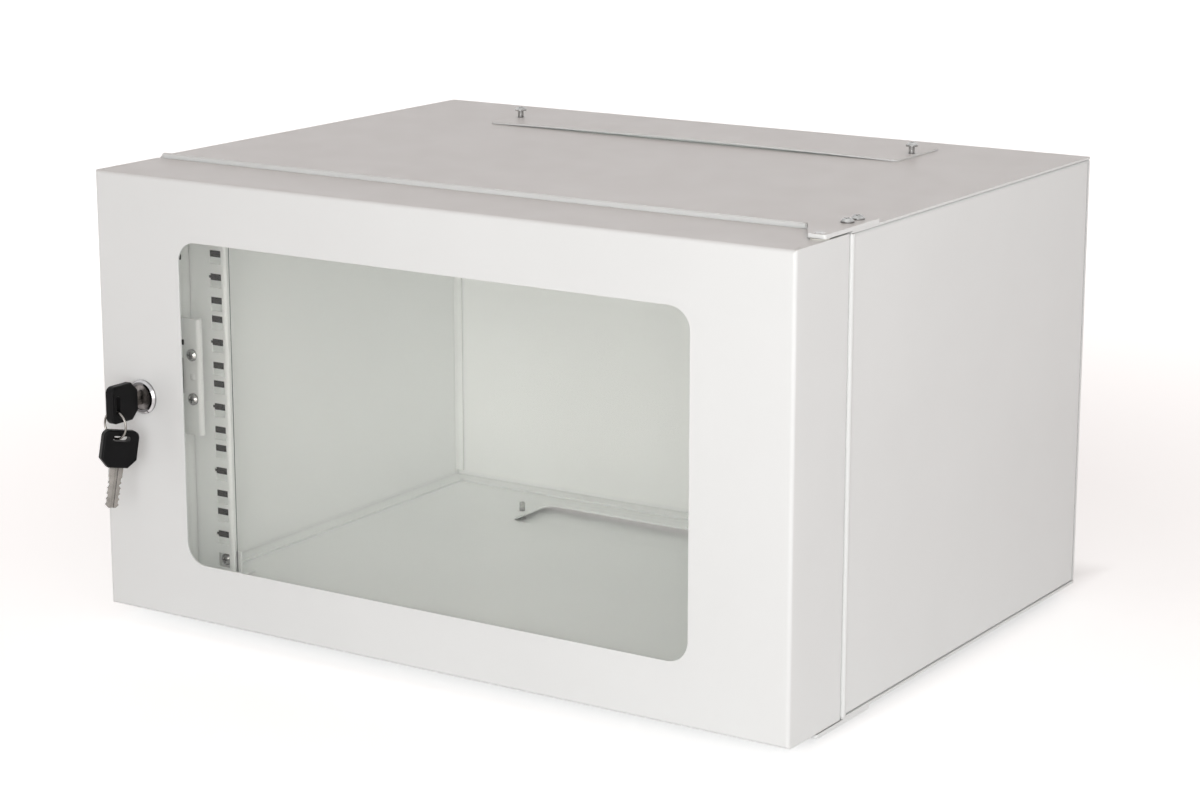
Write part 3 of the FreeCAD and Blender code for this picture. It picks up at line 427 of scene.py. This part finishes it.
def hole_shade_plates():
    """Dark plates of painted shade in the upper part of every square hole but the lowest, and in
    the unit notches.
    """
    rail_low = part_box("right_rail")[0].z
    units = [rail_low + FIRST_UNIT_RISE + UNIT * unit for unit in range(RACK_UNITS)]
    heights = [unit + hole for unit in units for hole in UNIT_HOLES]
    reach = SQUARE_HOLE / 2 - SHADE_PLATE_ROOM
    mesh = bmesh.new()
    for side, rail in ((1, "right_rail"), (-1, "left_rail")):
        face_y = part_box(rail)[0].y
        x = side * HOLE_SPACING / 2
        for z in heights[1:]:
            top = z + SQUARE_HOLE / 2
            low = Vector((x - reach, face_y + SHADE_PLATE_FRONT, top - SHADE_PLATE_HEIGHT))
            high = Vector((x + reach, face_y + SHADE_PLATE_BACK, top - SHADE_PLATE_ROOM))
            block(mesh, low, high, SHADE_PLATE_EDGE)
        for z in heights[1::len(UNIT_HOLES)]:
            notch = Vector((x + side * NOTCH_OFFSET, face_y + NOTCH_SHADE_DEPTH, z + SQUARE_HOLE / 4))
            block(mesh, notch - NOTCH_SHADE_HALF, notch + NOTCH_SHADE_HALF, NOTCH_SHADE_EDGE)
    fitting("Rail_hole_shade_plates", mesh, "foam_tape", "cabinet")


def bezel_index():
    """The index notch on the lock bezel, low on its right."""
    low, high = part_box("lock_body")
    centre = Vector(((low.x + high.x) / 2, low.y, (low.z + high.z) / 2))
    mesh = bmesh.new()
    block(mesh, INDEX_LOW, INDEX_HIGH, INDEX_EDGE)
    chamfer = Matrix.Translation(CHAMFER_PLACE) @ Matrix.Rotation(CHAMFER_SLOPE, 4, "Z")
    turn = Matrix.Rotation(INDEX_ANGLE, 4, "Y") @ chamfer
    bmesh.ops.transform(mesh, matrix=Matrix.Translation(centre) @ turn, verts=mesh.verts)
    fitting("Bezel_index", mesh, "bow_plastic", "door")


def tape_ends():
    """Two ends of the glazing tape that show at the window's left edge."""
    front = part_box("door_frame")[0].y + TAPE_BEHIND_DOOR_FACE
    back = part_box("door_glass")[0].y - TAPE_BEFORE_GLASS
    mesh = bmesh.new()
    for z in TAPE_END_HEIGHTS:
        low = Vector((WINDOW_LEFT - TAPE_END_HIDDEN, front, z - TAPE_END_HALF_HEIGHT))
        high = Vector((WINDOW_LEFT + TAPE_END_SHOWN, back, z + TAPE_END_HALF_HEIGHT))
        block(mesh, low, high, TAPE_END_EDGE)
    fitting("Tape_ends", mesh, "foam_tape", "door")


def rail_edge_shadows():
    """A thin dark strip of painted shadow behind the free edge of each rail."""
    mesh = bmesh.new()
    for side, rail in ((1, "right_rail"), (-1, "left_rail")):
        low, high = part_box(rail)
        free = side * min(abs(low.x), abs(high.x))
        left, right = sorted((free, free - side * EDGE_SHADOW_WIDTH))
        start = Vector((left, high.y - EDGE_SHADOW_DEPTH, low.z))
        block(mesh, start, Vector((right, high.y, high.z)), EDGE_SHADOW_ROUND)
    fitting("Rail_edge_shadows", mesh, "foam_tape", "cabinet")


def roof_lip():
    """The folded lip that stands a little proud along the roof's front edge."""
    low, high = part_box("top_panel")
    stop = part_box("top_hinge_bracket")[0].x
    mesh = bmesh.new()
    start = Vector((low.x + LIP_LEFT_INSET, low.y + LIP_FRONT, high.z - LIP_DROP))
    end = Vector((stop - LIP_BRACKET_GAP, low.y + LIP_BACK, high.z + LIP_RISE))
    block(mesh, start, end, LIP_EDGE)
    fitting("Roof_front_lip", mesh, "body_paint", "cabinet")


def bead_profile(outer, front):
    """A quarter round at a side's front edge, closed behind the sheet's outer face."""
    turns = [math.radians(90 * step / BEAD_STEPS) for step in range(BEAD_STEPS + 1)]
    centre_x, centre_y = outer + BEAD_RISE - BEAD_R, front + BEAD_R
    arc = [(centre_x + BEAD_R * math.sin(a), centre_y - BEAD_R * math.cos(a)) for a in turns]
    back = front + BEAD_LENGTH
    behind = [(outer + BEAD_SKIN, back), (outer - BEAD_REAR_ROOT, back)]
    return arc + behind + [(outer - BEAD_FRONT_ROOT, front + BEAD_FRONT)]


def side_beads():
    """The rounded fold that stands a little proud along the front edge of each side."""
    mesh = bmesh.new()
    for side, panel in ((1, "right_side_panel"), (-1, "left_side_panel")):
        low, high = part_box(panel)
        profile = bead_profile(max(abs(low.x), abs(high.x)), low.y)
        ends = (low.z + BEAD_END_GAP, high.z - BEAD_END_GAP)
        rows = [[mesh.verts.new((side * x, y, z)) for x, y in profile] for z in ends]
        for i in range(len(profile)):
            mesh.faces.new((rows[0][i - 1], rows[0][i], rows[1][i], rows[1][i - 1]))
        for row in rows:
            mesh.faces.new(row)
    bmesh.ops.recalc_face_normals(mesh, faces=mesh.faces)
    fitting("Side_front_folds", mesh, "body_paint", "cabinet")


# ---- studio ----
def look_along(place, aim):
    """A rotation that looks from a place to a point."""
    return (aim - place).to_track_quat("-Z", "Y").to_euler()


def direction(azimuth, elevation):
    """From the object towards something at an azimuth to its right and an elevation."""
    level = math.cos(elevation)
    return Vector((math.sin(azimuth) * level, -math.cos(azimuth) * level, math.sin(elevation)))


def seen_directly(tree):
    """One for camera, glossy and transmission rays, and nought for the rest."""
    path = add_node(tree, "ShaderNodeLightPath")
    total = path.outputs["Is Camera Ray"]
    for kind in ("Is Glossy Ray", "Is Transmission Ray"):
        total = combined(tree, "MAXIMUM", total, path.outputs[kind])
    return total


def studio_world():
    """White to the eye and in reflections, and a softer light on the rest, dimmer overhead."""
    world = bpy.data.worlds.new("Studio")
    world.use_nodes = True
    bpy.context.scene.world = world
    tree = world.node_tree
    shown = tree.nodes["Background"]
    shown.inputs["Color"].default_value = (1, 1, 1, 1)
    shown.inputs["Strength"].default_value = 1.0
    light = add_node(tree, "ShaderNodeBackground", Strength=1.0)
    height = add_node(tree, "ShaderNodeSeparateXYZ")
    tree.links.new(add_node(tree, "ShaderNodeTexCoord").outputs["Generated"], height.inputs[0])
    blend = mapped(tree, height.outputs["Z"], 0.0, 1.0, start=0.0, end=SKY_BLEND_TOP)
    tree.links.new(tinted(tree, blend, SKY_AT_HORIZON, SKY_OVERHEAD), light.inputs["Color"])
    either = add_node(tree, "ShaderNodeMixShader")
    tree.links.new(seen_directly(tree), either.inputs[0])
    tree.links.new(light.outputs[0], either.inputs[1])
    tree.links.new(shown.outputs[0], either.inputs[2])
    tree.links.new(either.outputs[0], tree.nodes["World Output"].inputs["Surface"])


def clear_of_cabinet(tree):
    """Nearly nought on the floor under and just behind the cabinet, and one beside it; the glow
    it dims there leaves a painted shadow.
    """
    behind = Vector((0, UNDER_BEHIND, 0))
    middle, half = (cad_low + cad_high + behind) / 2, (cad_high - cad_low + behind) / 2
    shifted = add_node(tree, "ShaderNodeVectorMath", operation="SUBTRACT")
    tree.links.new(object_coordinates(tree), shifted.inputs[0])
    shifted.inputs[1].default_value = (middle.x, middle.y, 0)
    folded = add_node(tree, "ShaderNodeVectorMath", operation="ABSOLUTE")
    tree.links.new(shifted.outputs[0], folded.inputs[0])
    split = add_node(tree, "ShaderNodeSeparateXYZ")
    tree.links.new(folded.outputs[0], split.inputs[0])
    fade_start, fade_end = (half.y - inset for inset in UNDER_FRONT_FADE)
    beside = mapped(tree, split.outputs["X"], UNDER_GLOW, 1.0, half.x - UNDER_SIDE_FADE, half.x)
    before = mapped(tree, split.outputs["Y"], UNDER_GLOW, 1.0, fade_start, fade_end)
    return combined(tree, "MAXIMUM", beside, before)


def floor():
    """A pale floor under the cabinet that keeps its shadow."""
    corners = ((-1, -1), (1, -1), (1, 1), (-1, 1))
    mesh = bpy.data.meshes.new("Floor")
    verts = [(x * FLOOR_REACH, y * FLOOR_REACH, cad_low.z) for x, y in corners]
    mesh.from_pydata(verts, [], [(0, 1, 2, 3)])
    plane = bpy.data.objects.new("Floor", mesh)
    bpy.context.scene.collection.objects.link(plane)
    material, tree, shader = new_material("Pale_floor")
    shader.inputs["Base Color"].default_value = (FLOOR_ALBEDO, FLOOR_ALBEDO, FLOOR_ALBEDO, 1)
    shader.inputs["Roughness"].default_value = FLOOR_ROUGHNESS
    shader.inputs["Emission Color"].default_value = (1, 1, 1, 1)
    away = add_node(tree, "ShaderNodeVectorMath", operation="LENGTH")
    tree.links.new(object_coordinates(tree), away.inputs[0])
    distance = away.outputs["Value"]
    wide = mapped(tree, distance, FLOOR_GLOW_NEAR, FLOOR_GLOW_FAR, GLOW_FROM, GLOW_TO)
    shown = combined(tree, "MULTIPLY", seen_directly(tree), wide)
    glow = combined(tree, "MULTIPLY", shown, clear_of_cabinet(tree))
    tree.links.new(glow, shader.inputs["Emission Strength"])
    mesh.materials.append(material)


def softbox(name, azimuth, elevation, distance, size, watts):
    """A square soft light aimed at the middle of the cabinet."""
    middle = (cad_low + cad_high) / 2
    data = bpy.data.lights.new(name, "AREA")
    data.shape = "SQUARE"
    data.size = size
    data.energy = watts
    lamp = bpy.data.objects.new(name, data)
    lamp.location = middle + direction(math.radians(azimuth), math.radians(elevation)) * distance
    lamp.rotation_euler = look_along(lamp.location, middle)
    bpy.context.scene.collection.objects.link(lamp)


def camera():
    data = bpy.data.cameras.new("Camera")
    data.lens = CAMERA_LENS
    data.sensor_width = CAMERA_SENSOR
    data.clip_start, data.clip_end = CAMERA_CLIP
    eye = bpy.data.objects.new("Camera", data)
    eye.location = CAMERA_PLACE
    eye.rotation_euler = look_along(Vector(), -direction(CAMERA_AZIMUTH, CAMERA_ELEVATION))
    bpy.context.scene.collection.objects.link(eye)
    bpy.context.scene.camera = eye


dress_nodes()
hole_shade_plates()
bezel_index()
tape_ends()
rail_edge_shadows()
roof_lip()
side_beads()
studio_world()
floor()
softbox("Side_light", azimuth=52, elevation=12, distance=1.3, size=1.0, watts=3.4)
softbox("Front_light", azimuth=22, elevation=9, distance=2.0, size=1.2, watts=13.2)
camera()
bpy.context.scene.cycles.max_bounces = LIGHT_BOUNCES
bpy.context.scene.cycles.diffuse_bounces = DIFFUSE_BOUNCES
bpy.context.scene.view_settings.view_transform = "Standard"
